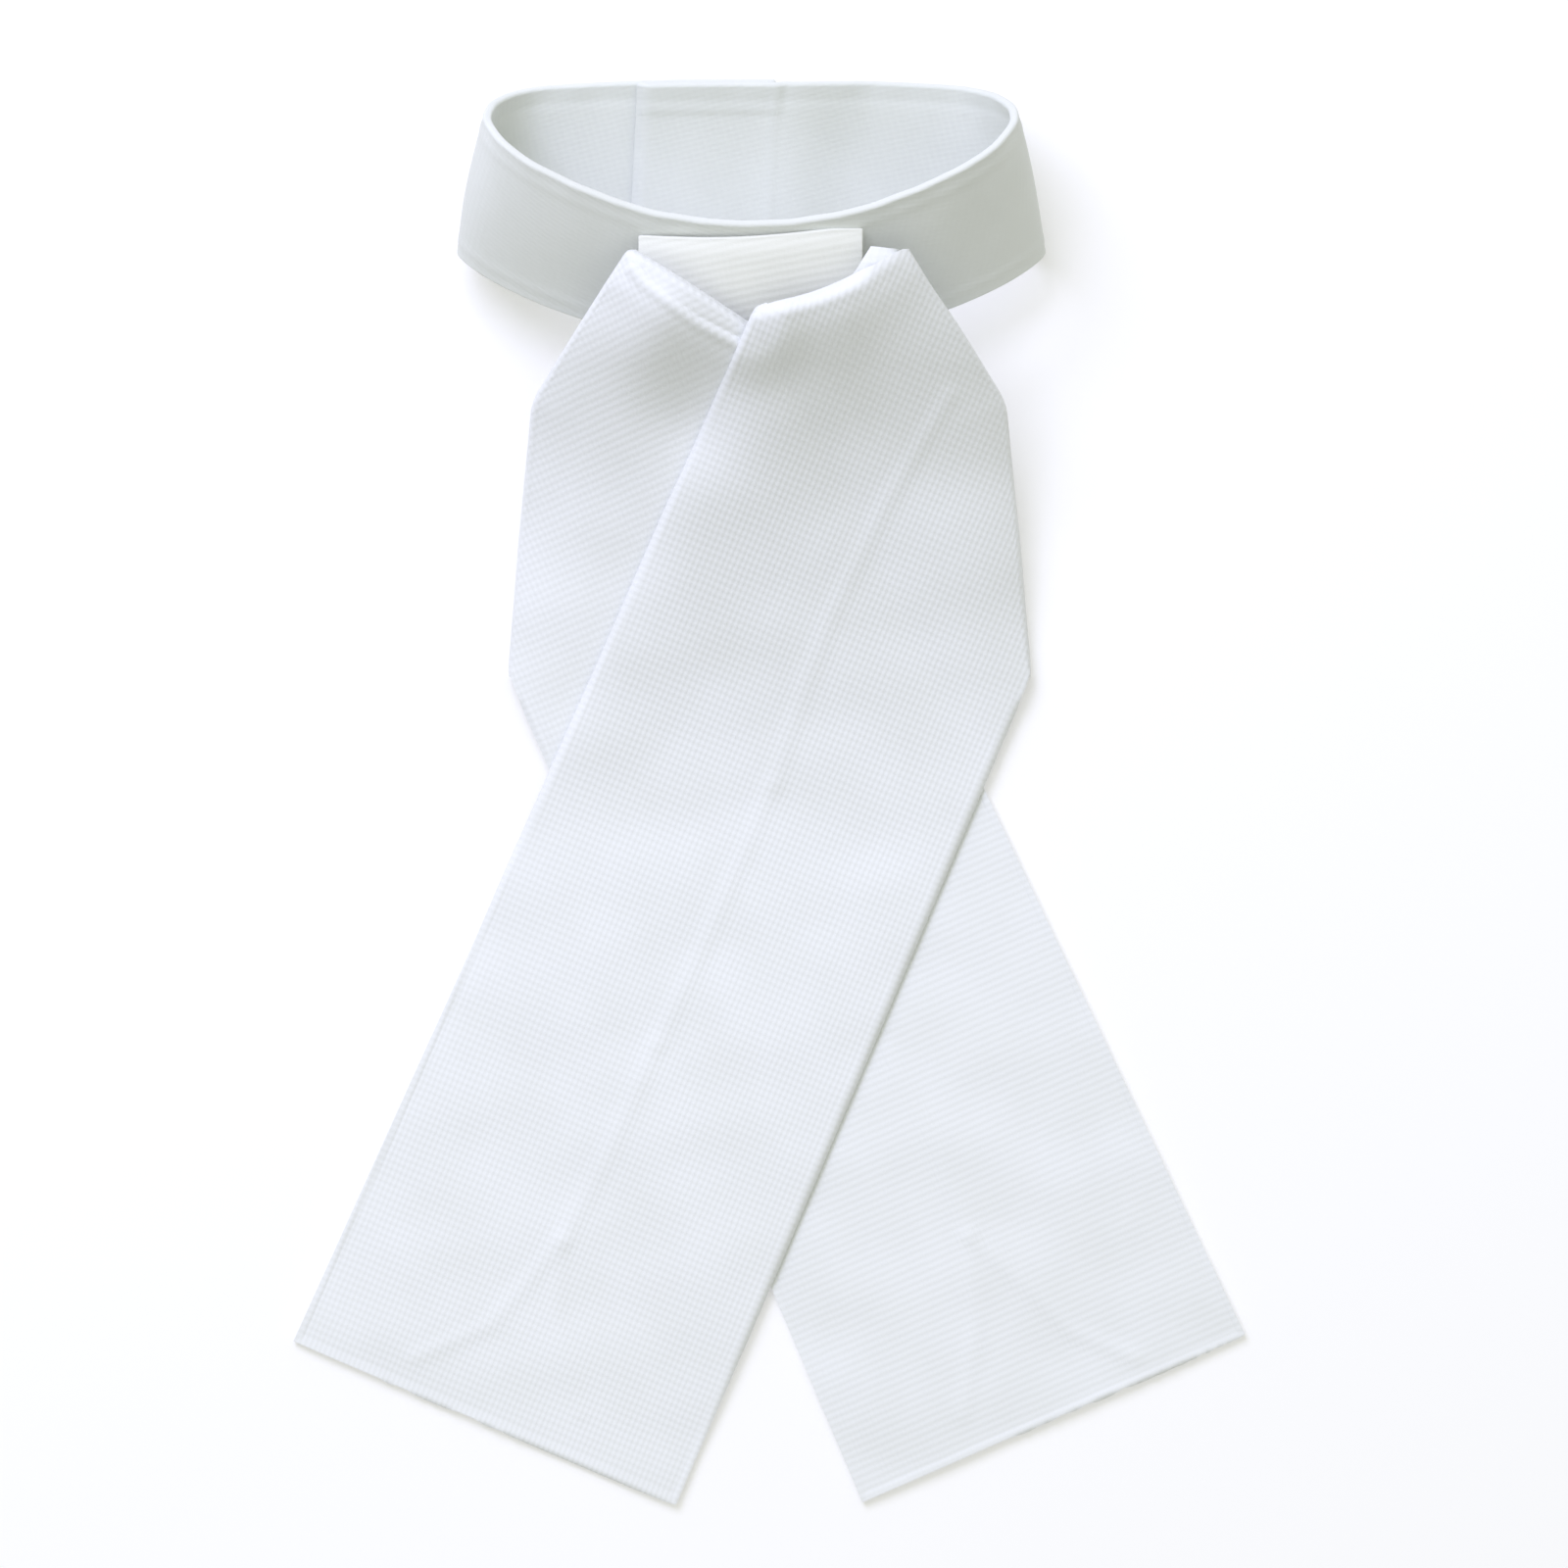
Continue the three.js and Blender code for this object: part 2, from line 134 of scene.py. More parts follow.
sky_link(brightness.outputs[0], not_negative.inputs[0])
sky_link(not_negative.outputs[0], sky_nodes["Background"].inputs["Strength"])
bpy.context.scene.world = world
bpy.context.scene.view_settings.view_transform = "Standard"

lamp_data = bpy.data.lights.new("lamp", "AREA")
lamp_data.energy = LAMP_POWER
lamp_data.size = LAMP_SIZE
lamp_data.color = LAMP_COLOUR
lamp = bpy.data.objects.new("lamp", lamp_data)
towards_lamp = Vector((
    math.cos(LAMP_AZIMUTH) * math.cos(LAMP_ELEVATION),
    math.sin(LAMP_AZIMUTH) * math.cos(LAMP_ELEVATION),
    math.sin(LAMP_ELEVATION),
))
lamp.location = towards_lamp * LAMP_DISTANCE
lamp.rotation_euler = towards_lamp.to_track_quat("Z", "Y").to_euler()
bpy.context.scene.collection.objects.link(lamp)
print("lamp at", [round(part, 2) for part in lamp.location])

# %% [markdown]
# ## How a sheet of cloth is made
#
# Each piece is one sheet. It starts as a flat grid, and every vertex is then moved to where the
# cloth lies, which a function works out from the vertex's place in the grid. The same function
# gives its place on the flat cloth, before it was folded, and that is kept as a UV map in metres,
# so that the weave bends with the cloth and is not stretched. A Solidify modifier gives the sheet
# its thickness on both sides, and a Bevel modifier rounds its cut edges like a folded hem. Where
# cloth is turned in at a hem it is thicker, so each vertex also carries how plump the sheet is
# there. This is preferred to sculpting, because the pieces that lie on each other can share one
# set of heights.

# %% Grid, welding and finish
WELD = 0.02
EDGE_ROUNDING = 0.42
EDGE_SEGMENTS = 3
EDGE_ANGLE = math.radians(50)
HEM_GROWTH = 1.15


def cloth_grid(bm, columns, rows, place, plump=None):
    """Adds a grid to bm and moves it. place(u, v) gives its points and flat places in millimetres,
    and plump(u, v) how much of a hem's extra thickness the sheet has there, from 0 to 1."""
    weave = bm.loops.layers.uv.verify()
    hem = bm.verts.layers.deform.verify()
    made = bmesh.ops.create_grid(bm, x_segments=columns, y_segments=rows, size=0.5)["verts"]
    u = np.array([vert.co.x + 0.5 for vert in made])
    v = np.array([vert.co.y + 0.5 for vert in made])
    points, flat = place(u, v)
    plumpness = plump(u, v) if plump else np.zeros(u.shape)
    flat_at = {}
    for vert, point, at, share in zip(made, points, flat, plumpness):
        vert.co = Vector(point) * MM
        vert[hem][0] = float(share)
        flat_at[vert] = Vector(at) * MM
    for face in {face for vert in made for face in vert.link_faces}:
        for loop in face.loops:
            loop[weave].uv = flat_at[loop.vert]


def cloth_piece(name, bm, thickness, material):
    """Makes an object of a bmesh: a sheet this thick, in millimetres, with rounded edges."""
    bmesh.ops.remove_doubles(bm, verts=bm.verts, dist=WELD * MM)
    bmesh.ops.recalc_face_normals(bm, faces=bm.faces)
    for face in bm.faces:
        face.smooth = True
    mesh = bpy.data.meshes.new(name)
    bm.to_mesh(mesh)
    bm.free()
    mesh.materials.append(material)
    piece = bpy.data.objects.new(name, mesh)
    bpy.context.scene.collection.objects.link(piece)
    wall = piece.modifiers.new("wall", "SOLIDIFY")
    wall.thickness = thickness * HEM_GROWTH * MM
    wall.vertex_group = piece.vertex_groups.new(name="plump").name
    wall.thickness_vertex_group = 1 / HEM_GROWTH
    wall.offset = 0
    edge = piece.modifiers.new("edge", "BEVEL")
    edge.width = thickness * EDGE_ROUNDING * MM
    edge.segments = EDGE_SEGMENTS
    edge.limit_method = "ANGLE"
    edge.angle_limit = EDGE_ANGLE
    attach(piece, "root")
    print(name, len(mesh.polygons), "faces")
    return piece


print("cut edges are rounded by", EDGE_ROUNDING, "and hems thickened by", HEM_GROWTH, "times the wall")

# %% [markdown]
# ## The cotton
#
# The cloth is a piqué: fine ribs run along it, 1.35 mm apart, and coarser ones across, 1.81 mm
# apart. Light from one side picks out the ribs that lie across its way, so one tail looks striped
# and the other looks like small cells, although both are the same cloth. A picture of cloth would
# repeat and blur, so the weave is worked out from the UV map: two cosines are added, a slow noise
# lets them wander, and a fine one roughens them as spun yarn is rough. They drive a Bump node,
# because the ribs are far too many for geometry. Another noise varies the white very slightly.

# %% Cotton material
COARSE_PERIOD = 1.81 * MM
FINE_PERIOD = 1.35 * MM
WANDER = 0.35 * MM
WANDER_SCALE = 160.0
YARN_SCALE = 2600.0
YARN_SHARE = 0.9
MOTTLE_SCALE = 45.0
MOTTLE_SPAN = (0.3, 0.7)
FIBRE_ROUGHNESS = 0.88
FIBRE_SPECULAR = 0.25
FUZZ = 0.12
FUZZ_ROUGHNESS = 0.6


def cotton(name, pale, deep, relief, fine_share, turned=0.0):
    """White ribbed cotton. relief is the height of the coarse ribs in metres, fine_share the height
    of the fine ones as a part of it, and turned the angle of both in degrees."""
    material = bpy.data.materials.new(name)
    material.use_nodes = True
    nodes = material.node_tree.nodes
    link = material.node_tree.links.new
    shader = nodes["Principled BSDF"]
    shader.inputs["Roughness"].default_value = FIBRE_ROUGHNESS
    shader.inputs["Specular IOR Level"].default_value = FIBRE_SPECULAR
    shader.inputs["Sheen Weight"].default_value = FUZZ
    shader.inputs["Sheen Roughness"].default_value = FUZZ_ROUGHNESS

    def math_node(operation, first, second, third=0.0):
        node = nodes.new("ShaderNodeMath")
        node.operation = operation
        for socket, value in zip(node.inputs, (first, second, third)):
            if isinstance(value, bpy.types.NodeSocket):
                link(value, socket)
            else:
                socket.default_value = value
        return node.outputs[0]

    def ribs(position, period):
        angle = math_node("MULTIPLY", position, 2 * math.pi / period)
        wave = math_node("COSINE", angle, 0.0)
        return math_node("MULTIPLY_ADD", wave, 0.5, 0.5)

    def noise(scale, detail):
        node = nodes.new("ShaderNodeTexNoise")
        node.inputs["Scale"].default_value = scale
        node.inputs["Detail"].default_value = detail
        link(flat.outputs["UV"], node.inputs["Vector"])
        return node.outputs["Fac"]

    flat = nodes.new("ShaderNodeUVMap")
    flat.uv_map = "weave"
    turn = nodes.new("ShaderNodeMapping")
    turn.inputs["Rotation"].default_value = (0, 0, math.radians(turned))
    link(flat.outputs["UV"], turn.inputs["Vector"])
    split = nodes.new("ShaderNodeSeparateXYZ")
    link(turn.outputs["Vector"], split.inputs["Vector"])
    wander = math_node("MULTIPLY", noise(WANDER_SCALE, detail=1.0), WANDER)
    fine_ribs = ribs(math_node("ADD", split.outputs["X"], wander), FINE_PERIOD)
    coarse_ribs = ribs(math_node("ADD", split.outputs["Y"], wander), COARSE_PERIOD)
    both = math_node("MULTIPLY_ADD", fine_ribs, fine_share, coarse_ribs)
    height = math_node("MULTIPLY_ADD", noise(YARN_SCALE, detail=2.0), YARN_SHARE, both)

    bump = nodes.new("ShaderNodeBump")
    bump.inputs["Strength"].default_value = 1.0
    bump.inputs["Distance"].default_value = relief
    link(height, bump.inputs["Height"])
    link(bump.outputs["Normal"], shader.inputs["Normal"])

    tone = nodes.new("ShaderNodeValToRGB")
    for element, position, colour in zip(tone.color_ramp.elements, MOTTLE_SPAN, (deep, pale)):
        element.position = position
        element.color = (*colour, 1)
    link(noise(MOTTLE_SCALE, detail=3.0), tone.inputs["Fac"])
    link(tone.outputs["Color"], shader.inputs["Base Color"])
    return material


tail_cotton = cotton(
    "tail_cotton", pale=(0.82, 0.838, 0.845), deep=(0.79, 0.808, 0.805), relief=0.05 * MM, fine_share=1.1)
# The yoke is the same cotton, painted a little warmer all over: a painted warm shade for the shadow it lies
# in below the tails' top edges.
yoke_cotton = cotton(
    "yoke_cotton", pale=(0.81, 0.82, 0.765), deep=(0.782, 0.792, 0.735), relief=0.044 * MM, fine_share=0.2,
    turned=-11)
# The neckband is the same white cotton as the tails, painted darker and greener: painted shade for its front
# and its inside, which turn away from the light.
band_cotton = cotton(
    "band_cotton", pale=(0.745, 0.768, 0.735), deep=(0.715, 0.738, 0.70), relief=0.02 * MM, fine_share=1.0,
    turned=76)
print("cottons made:", tail_cotton.name, yoke_cotton.name, band_cotton.name)

# %% [markdown]
# ## The slope under the tails
#
# The tails hang from the front of the neckband, which stands off the table. From the rim they
# follow the yoke, bend over a knee and run down to the table in a long curve. One height function
# describes the underside of the lowest layer, and everything that lies on it is an offset from it.
# Averaging the height over a short way up and down the tails rounds the knee. It is all written for
# whole arrays of x and y, which is much faster than point by point.

# %% The slope
BAND_X = -4.5
RIM_Y = 138.5
KNEE_Y = 116.4
KNEE_Z = 44.6
TABLE_Y = -45.0
YOKE_RISE = 0.3
RISE = 0.8
SOFTNESS = 4.0
KNEE_ROUNDING = 8.0
KNEE_SAMPLES = 9
CROWN_AT_KNEE = 0.0034
CROWN_AT_RIM = 0.0055
CROWN_GONE_BELOW = 15.0


def smoothstep(value, start, end):
    """0 up to start, 1 from end on, and a smooth way from one to the other."""
    part = np.clip((value - start) / (end - start), 0, 1)
    return part * part * (3 - 2 * part)


def sharp_slope(x, y):
    """The slope with its knee not yet rounded."""
    reach = KNEE_Y - TABLE_Y
    past = y - KNEE_Y
    above = np.maximum(past, 0)
    bend = (RISE - YOKE_RISE) * SOFTNESS * (1 - np.exp(-above / SOFTNESS))
    runout = KNEE_Z * (np.maximum(y - TABLE_Y, 0) / reach) ** (RISE * reach / KNEE_Z)
    height = np.where(past > 0, KNEE_Z + YOKE_RISE * past + bend, runout)
    towards_rim = np.clip(past / (RIM_Y - KNEE_Y), 0, 1)
    crown = CROWN_AT_KNEE * np.tanh(height / CROWN_GONE_BELOW)
    crown = crown + (CROWN_AT_RIM - CROWN_AT_KNEE) * towards_rim
    return height - crown * (x - BAND_X) ** 2


def slope_height(x, y):
    """Underside of the lowest layer, in millimetres above the table."""
    shifts = np.linspace(-KNEE_ROUNDING, KNEE_ROUNDING, KNEE_SAMPLES)
    return np.mean([sharp_slope(x, y + shift) for shift in shifts], axis=0)


def stretch_up(x, y):
    """How much longer an upright offset from the slope is than a square one."""
    probe = 0.5
    slope_x = (slope_height(x + probe, y) - slope_height(x - probe, y)) / (2 * probe)
    slope_y = (slope_height(x, y + probe) - slope_height(x, y - probe)) / (2 * probe)
    return np.sqrt(1 + slope_x ** 2 + slope_y ** 2)


rim_height = slope_height(np.array([BAND_X]), np.array([RIM_Y]))[0]
print("the slope is", round(float(rim_height), 1), "mm high at the rim")


# %% Places in plan
def distance_to(path, x, y):
    """Distance in plan from each point to a line of points."""
    nearest = np.full(x.shape, np.inf)
    for (from_x, from_y), (to_x, to_y) in zip(path, path[1:]):
        dx, dy = to_x - from_x, to_y - from_y
        along = ((x - from_x) * dx + (y - from_y) * dy) / (dx * dx + dy * dy)
        part = np.clip(along, 0, 1)
        nearest = np.minimum(nearest, np.hypot(x - from_x - part * dx, y - from_y - part * dy))
    return nearest


def inside(outline, x, y):
    """True for the points that a closed outline goes round."""
    within = np.zeros(x.shape, bool)
    for (from_x, from_y), (to_x, to_y) in zip(outline, outline[1:]):
        spans = (from_y > y) != (to_y > y)
        rise = to_y - from_y if to_y != from_y else 1.0
        crossing = (to_x - from_x) * (y - from_y) / rise + from_x
        within ^= spans & (x < crossing)
    return within


def soft_max(first, second):
    """The larger of two heights, with no crease where they meet."""
    sharpness = 4
    return (first ** sharpness + second ** sharpness) ** (1 / sharpness)


upright = [(0.0, -9.0), (0.0, 9.0)]
print("distance from (3, 4) to an upright line:", distance_to(upright, np.array([3.0]), np.array([4.0]))[0])

# %% [markdown]
# ## The tails' tables
#
# A row is a line across a tail: from its inner side, which crosses the middle, to its outer side,
# where the cloth folds under at the shoulder, and on to the free edge of the layer behind. bow
# lowers the middle of the line, which gives the over tail's top edge its curve. Below the last
# fold row there is only one layer.

# %% Tail tables
TAIL_THICKNESS = 1.6
CLEARANCE = 0.35
FOLD_GAP = 0.9
LAYER_PITCH = TAIL_THICKNESS + CLEARANCE
FOLD_RADIUS = (LAYER_PITCH + FOLD_GAP) / 2
TOP_EDGE_POINTS = 25
TailRow = namedtuple("TailRow", "outer_x outer_y inner_x inner_y rear_x rear_y bow")
OVER_TAIL = [
    TailRow(34.0, 134.2, -2.9, 119.6, 25.2, 134.7, 2.4),
    TailRow(39.0, 126.4, -4.9, 115.9, 18.9, 125.3, 1.8),
    TailRow(46.4, 116.5, -7.7, 109.8, 16.5, 114.1, 1.0),
    TailRow(58.9, 98.3, -12.6, 99.7, 23.6, 92.6, 0.0),
    TailRow(62.9, 64.8, -19.2, 85.1, 40.9, 60.4, 0.0),
    TailRow(66.1, 30.0, -26.3, 70.4, 63.6, 30.2, 0.0),
    TailRow(-23.8, -180.9, -121.2, -139.3, 0.0, 0.0, 0.0),
]
UNDER_TAIL = [
    TailRow(-34.4, 133.6, -4.0, 115.4, -4.6, 115.0, 0.0),
    TailRow(-46.3, 116.5, 1.6, 105.9, -12.6, 102.3, 0.0),
    TailRow(-58.8, 98.3, 6.9, 97.2, -22.5, 87.5, 0.0),
    TailRow(-62.7, 64.8, 15.5, 81.8, -41.0, 59.4, 0.0),
    TailRow(-65.8, 30.0, 25.3, 62.9, -63.4, 30.2, 0.0),
    TailRow(23.8, -180.3, 121.2, -137.6, 0.0, 0.0, 0.0),
]


def side_of(rows, side):
    """One side of some rows as points in plan: outer, inner or rear."""
    return [(getattr(row, side + "_x"), getattr(row, side + "_y")) for row in rows]


def top_edge(rows):
    """Points along the bowed top edge, from the inner side to where the fold begins."""
    row = rows[0]
    outer_x = row.outer_x - math.copysign(FOLD_RADIUS, row.outer_x)
    points = []
    for part in np.linspace(0, 1, TOP_EDGE_POINTS):
        x = row.inner_x + (outer_x - row.inner_x) * part
        y = row.inner_y + (row.outer_y - row.inner_y) * part - row.bow * math.sin(math.pi * part)
        points.append((x, y))
    return points


def front_outline(rows):
    """Closed outline of a front layer."""
    outer = side_of(rows, "outer")
    return [*outer, *reversed(side_of(rows, "inner")), *top_edge(rows)[1:], outer[0]]


def flap_outline(rows):
    """Closed outline of the layer behind the fold."""
    outer = side_of(rows[:-1], "outer")
    return [*outer, *reversed(side_of(rows[:-1], "rear")), outer[0]]


over_tail_outline = front_outline(OVER_TAIL)
over_flap_outline = flap_outline(OVER_TAIL)
under_tail_outline = front_outline(UNDER_TAIL)
under_flap_outline = flap_outline(UNDER_TAIL)
print("rows:", len(OVER_TAIL), "over,", len(UNDER_TAIL), "under")

# %% [markdown]
# ## How full the cloth is
#
# Crisp cloth does not drop at once beside the edge of a layer beneath it: it stays up for a few
# millimetres and then comes down. cover() gives that as a number from 1 to 0. Nor is a tail flat
# between its sides, because it is double and has turnings inside it. Fullness could be sculpted, but
# a few soft bumps in a table are easier to move until the shading is right.

# %% Fullness
FULL_COVER = 5.0
DRAPING = 42.0
PUFF_REACH = 9.0
PUFF_TOP = 2.4
PUFF_END = 0.5
PUFF_FROM_Y = -10.0
PUFF_TO_Y = 60.0
CARRIED_ON = 2
Swell = namedtuple("Swell", "x y height reach")
OVER_SWELLS = [
    Swell(17, 120.5, 2.8, 12),
    Swell(-6, 104, -0.7, 12),
    Swell(54, 61, 3.6, 20),
]
UNDER_SWELLS = [
    Swell(-28, 115, 2.4, 9),
    Swell(-19, 94, -3.0, 12),
    Swell(-50, 50, 1.0, 16),
]


def cover(outline, x, y):
    """1 over a layer seen from above, falling smoothly to 0 beside it."""
    beside = 1 - smoothstep(distance_to(outline, x, y), FULL_COVER, DRAPING)
    return np.where(inside(outline, x, y), 1.0, beside)


def swelling(swells, x, y):
    """Broad bulges and hollows that show as light and dark places."""
    height = np.zeros(x.shape)
    for swell in swells:
        square = (x - swell.x) ** 2 + (y - swell.y) ** 2
        height = height + swell.height * np.exp(-square / swell.reach ** 2)
    return height


def long_side(rows, side):
    """A tail's long side as a line of points, carried on beyond the top edge."""
    points = side_of(rows, side)
    (top_x, top_y), (next_x, next_y) = points[:2]
    beyond_x = (1 + CARRIED_ON) * top_x - CARRIED_ON * next_x
    beyond_y = (1 + CARRIED_ON) * top_y - CARRIED_ON * next_y
    return [(beyond_x, beyond_y), *points]


def puff(rows, x, y):
    """Two layers with turnings between them are thickest in the middle and thin at both long sides."""
    outer = long_side(rows, "outer")
    inner = long_side(rows, "inner")
    edge = np.minimum(distance_to(outer, x, y), distance_to(inner, x, y))
    height = PUFF_END + (PUFF_TOP - PUFF_END) * smoothstep(y, PUFF_FROM_Y, PUFF_TO_Y)
    rounded = height * (1 - np.exp(-edge / PUFF_REACH))
    return np.where(inside([*outer, *reversed(inner), outer[0]], x, y), rounded, 0)


print("swells:", len(OVER_SWELLS), "over,", len(UNDER_SWELLS), "under")

# %% [markdown]
# The top edges are soft rolls, because the cloth comes over from behind there. The under tail's is
# pressed flat, into a level strip that opens out from its shoulder. The over tail's is rounder, and
# has a crest along a line just below it.

# %% Top edges
SHELF_HEIGHT = 3.0
SHELF_WIDTH = 6.2
SHELF_OPENS_IN = 9.0
SHELF_REACH = 6.5
UNDER_ROLL_RADIUS = 1.5
OVER_ROLL_RADIUS = 3.2
CREST_HEIGHT = 3.0
CREST_REACH = 8.0
CREST_PATH = [(31.8, 130.0), (17.2, 122.0), (-2.0, 117.5)]


def shelf(rows, x, y):
    """A roll pressed flat: a level strip along the top edge, which opens out from the shoulder."""
    from_shoulder = np.hypot(x - rows[0].outer_x, y - rows[0].outer_y)
    width = SHELF_WIDTH * smoothstep(from_shoulder, 0, SHELF_OPENS_IN)
    past = np.maximum(distance_to(top_edge(rows), x, y) - width, 0)
    return SHELF_HEIGHT * np.exp(-(past / SHELF_REACH) ** 2)


def roll(rows, radius, x, y):
    """0 at a tail's top edge, rising in a rounded curve to 1 inside it."""
    return np.sin(math.pi / 2 * np.minimum(distance_to(top_edge(rows), x, y) / radius, 1))


def crest(x, y):
    """The over tail's crest below its top edge."""
    return CREST_HEIGHT * np.exp(-(distance_to(CREST_PATH, x, y) / CREST_REACH) ** 2)


print("rolls of", UNDER_ROLL_RADIUS, "and", OVER_ROLL_RADIUS, "mm at the top edges")

# %% [markdown]
# ## How the layers lie on each other
#
# From the slope upwards lie the two layers behind, the under tail's front and the over tail's front.
# Each front layer rests on what is below it, with a little air at its fold and its crossing, and its
# hems sink into the cloth below.

# %% Layer heights
CROSSING_GAP = 0.65
HEM_SINKS = 0.35
CREST_PRESSED = 0.6
REAR_LIFT = 6.0
REAR_LIFTS_WITHIN = 0.35
REAR_LIFT_REACH = 7.0
REAR_LIFT_UNDER = 4.0
REAR_SHOWS_FROM = 18.0
REAR_SHOWS_TO = 26.0


def under_front(x, y, rolled=True):
    """Underside of the under tail's front layer above the slope. The over tail bridges its roll."""
    over_flap = cover(under_flap_outline, x, y)
    lift = over_flap * FOLD_GAP + shelf(UNDER_TAIL, x, y)
    lying = over_flap * LAYER_PITCH + puff(UNDER_TAIL, x, y) + swelling(UNDER_SWELLS, x, y)
    return lying + lift * (roll(UNDER_TAIL, UNDER_ROLL_RADIUS, x, y) if rolled else 1)


def over_front(x, y):
    """Underside of the over tail's front layer above the slope."""
    over_other = cover(under_tail_outline, x, y)
    over_flap = cover(over_flap_outline, x, y)
    on_other = over_other * (under_front(x, y, rolled=False) + LAYER_PITCH)
    resting = soft_max(on_other, over_flap * LAYER_PITCH)
    lying = resting + puff(OVER_TAIL, x, y) + swelling(OVER_SWELLS, x, y)
    rounded = crest(x, y) * (1 - CREST_PRESSED * over_other)
    air = np.maximum(over_other * CROSSING_GAP, over_flap * FOLD_GAP)
    alone = 1 - smoothstep(x, REAR_SHOWS_FROM, REAR_SHOWS_TO)
    down = (1 - roll(OVER_TAIL, OVER_ROLL_RADIUS, x, y)) * alone
    return lying + (air + rounded) * (1 - down)


def rear_offset(rows, x, y, part):
    """The layers behind lie on the slope, and the over tail's comes up to its front at the top edge.
    part is how far the place is from the fold, from 0 to 1."""
    lift = REAR_LIFT * smoothstep(part, 0, REAR_LIFTS_WITHIN) if rows is OVER_TAIL else 0
    reach = np.where(inside(over_tail_outline, x, y), REAR_LIFT_UNDER, REAR_LIFT_REACH)
    return lift * np.exp(-(distance_to(top_edge(rows), x, y) / reach) ** 2)


def hem_drop(rows, x, y):
    """How far a front layer's hem comes down to what is below it."""
    if rows is UNDER_TAIL:
        return cover(under_flap_outline, x, y) * FOLD_GAP
    return cover(under_tail_outline, x, y) * (CLEARANCE + CROSSING_GAP + HEM_SINKS)


def layer_height(offset, x, y):
    """Middle of a layer above the table, for its underside's offset from the slope."""
    return slope_height(x, y) + (TAIL_THICKNESS / 2 + offset) * stretch_up(x, y)


print("layers are", round(LAYER_PITCH, 2), "mm apart, and a fold's radius is", FOLD_RADIUS, "mm")

# %% [markdown]
# ## The tails
#
# A tail is one strip of double cloth. Seen from above its front layer runs from the inner edge to
# the fold at the shoulder, and there it turns under in a small half circle and runs back behind.
# So it is made of two grids that share the fold line: the front layer, and the fold with the rear
# layer. They are welded into one sheet, so the fold is continuous. Where a seam allowance lies
# inside the tail it shows through as a soft ridge. The hems are slightly raised and come down to
# the layer below, and faint waves, a few centimetres long, keep the cloth from looking like card.

# %% Waves
Wave = namedtuple("Wave", "height length heading start")
WAVES = [
    Wave(0.09, 31, 84, 0.4),
    Wave(0.09, 43, 128, 2.1),
    Wave(0.06, 23, 61, 4.0),
    Wave(0.12, 57, 12, 1.2),
    Wave(0.035, 17, 103, 5.3),
]


def waves(x, y):
    """Heights of the faint waves added up. A wave's length is in millimetres, its heading in degrees."""
    height = np.zeros(x.shape)
    for wave in WAVES:
        heading = math.radians(wave.heading)
        along = x * math.cos(heading) + y * math.sin(heading)
        height = height + wave.height * np.sin(2 * math.pi * along / wave.length + wave.start)
    return height


print("waves:", len(WAVES))

# %% Tail sheet
CELL = 1.25
FRONT_COLUMNS = 112
SIDE_FINENESS = 0.6
END_FINENESS = 1.25
FOLD_COLUMNS = 8
REAR_COLUMNS = 22
CORNER_SOFTNESS = 3.0
CORNER_SAMPLES = 7
CORNER_RADIUS = 1.8
FOLD_CLOSES = 7.0
HEM_HEIGHT = 0.26
HEM_STEP = (0.6, 1.9)
DROP_WIDTH = 0.8
Ridge = namedtuple("Ridge", "height width path")


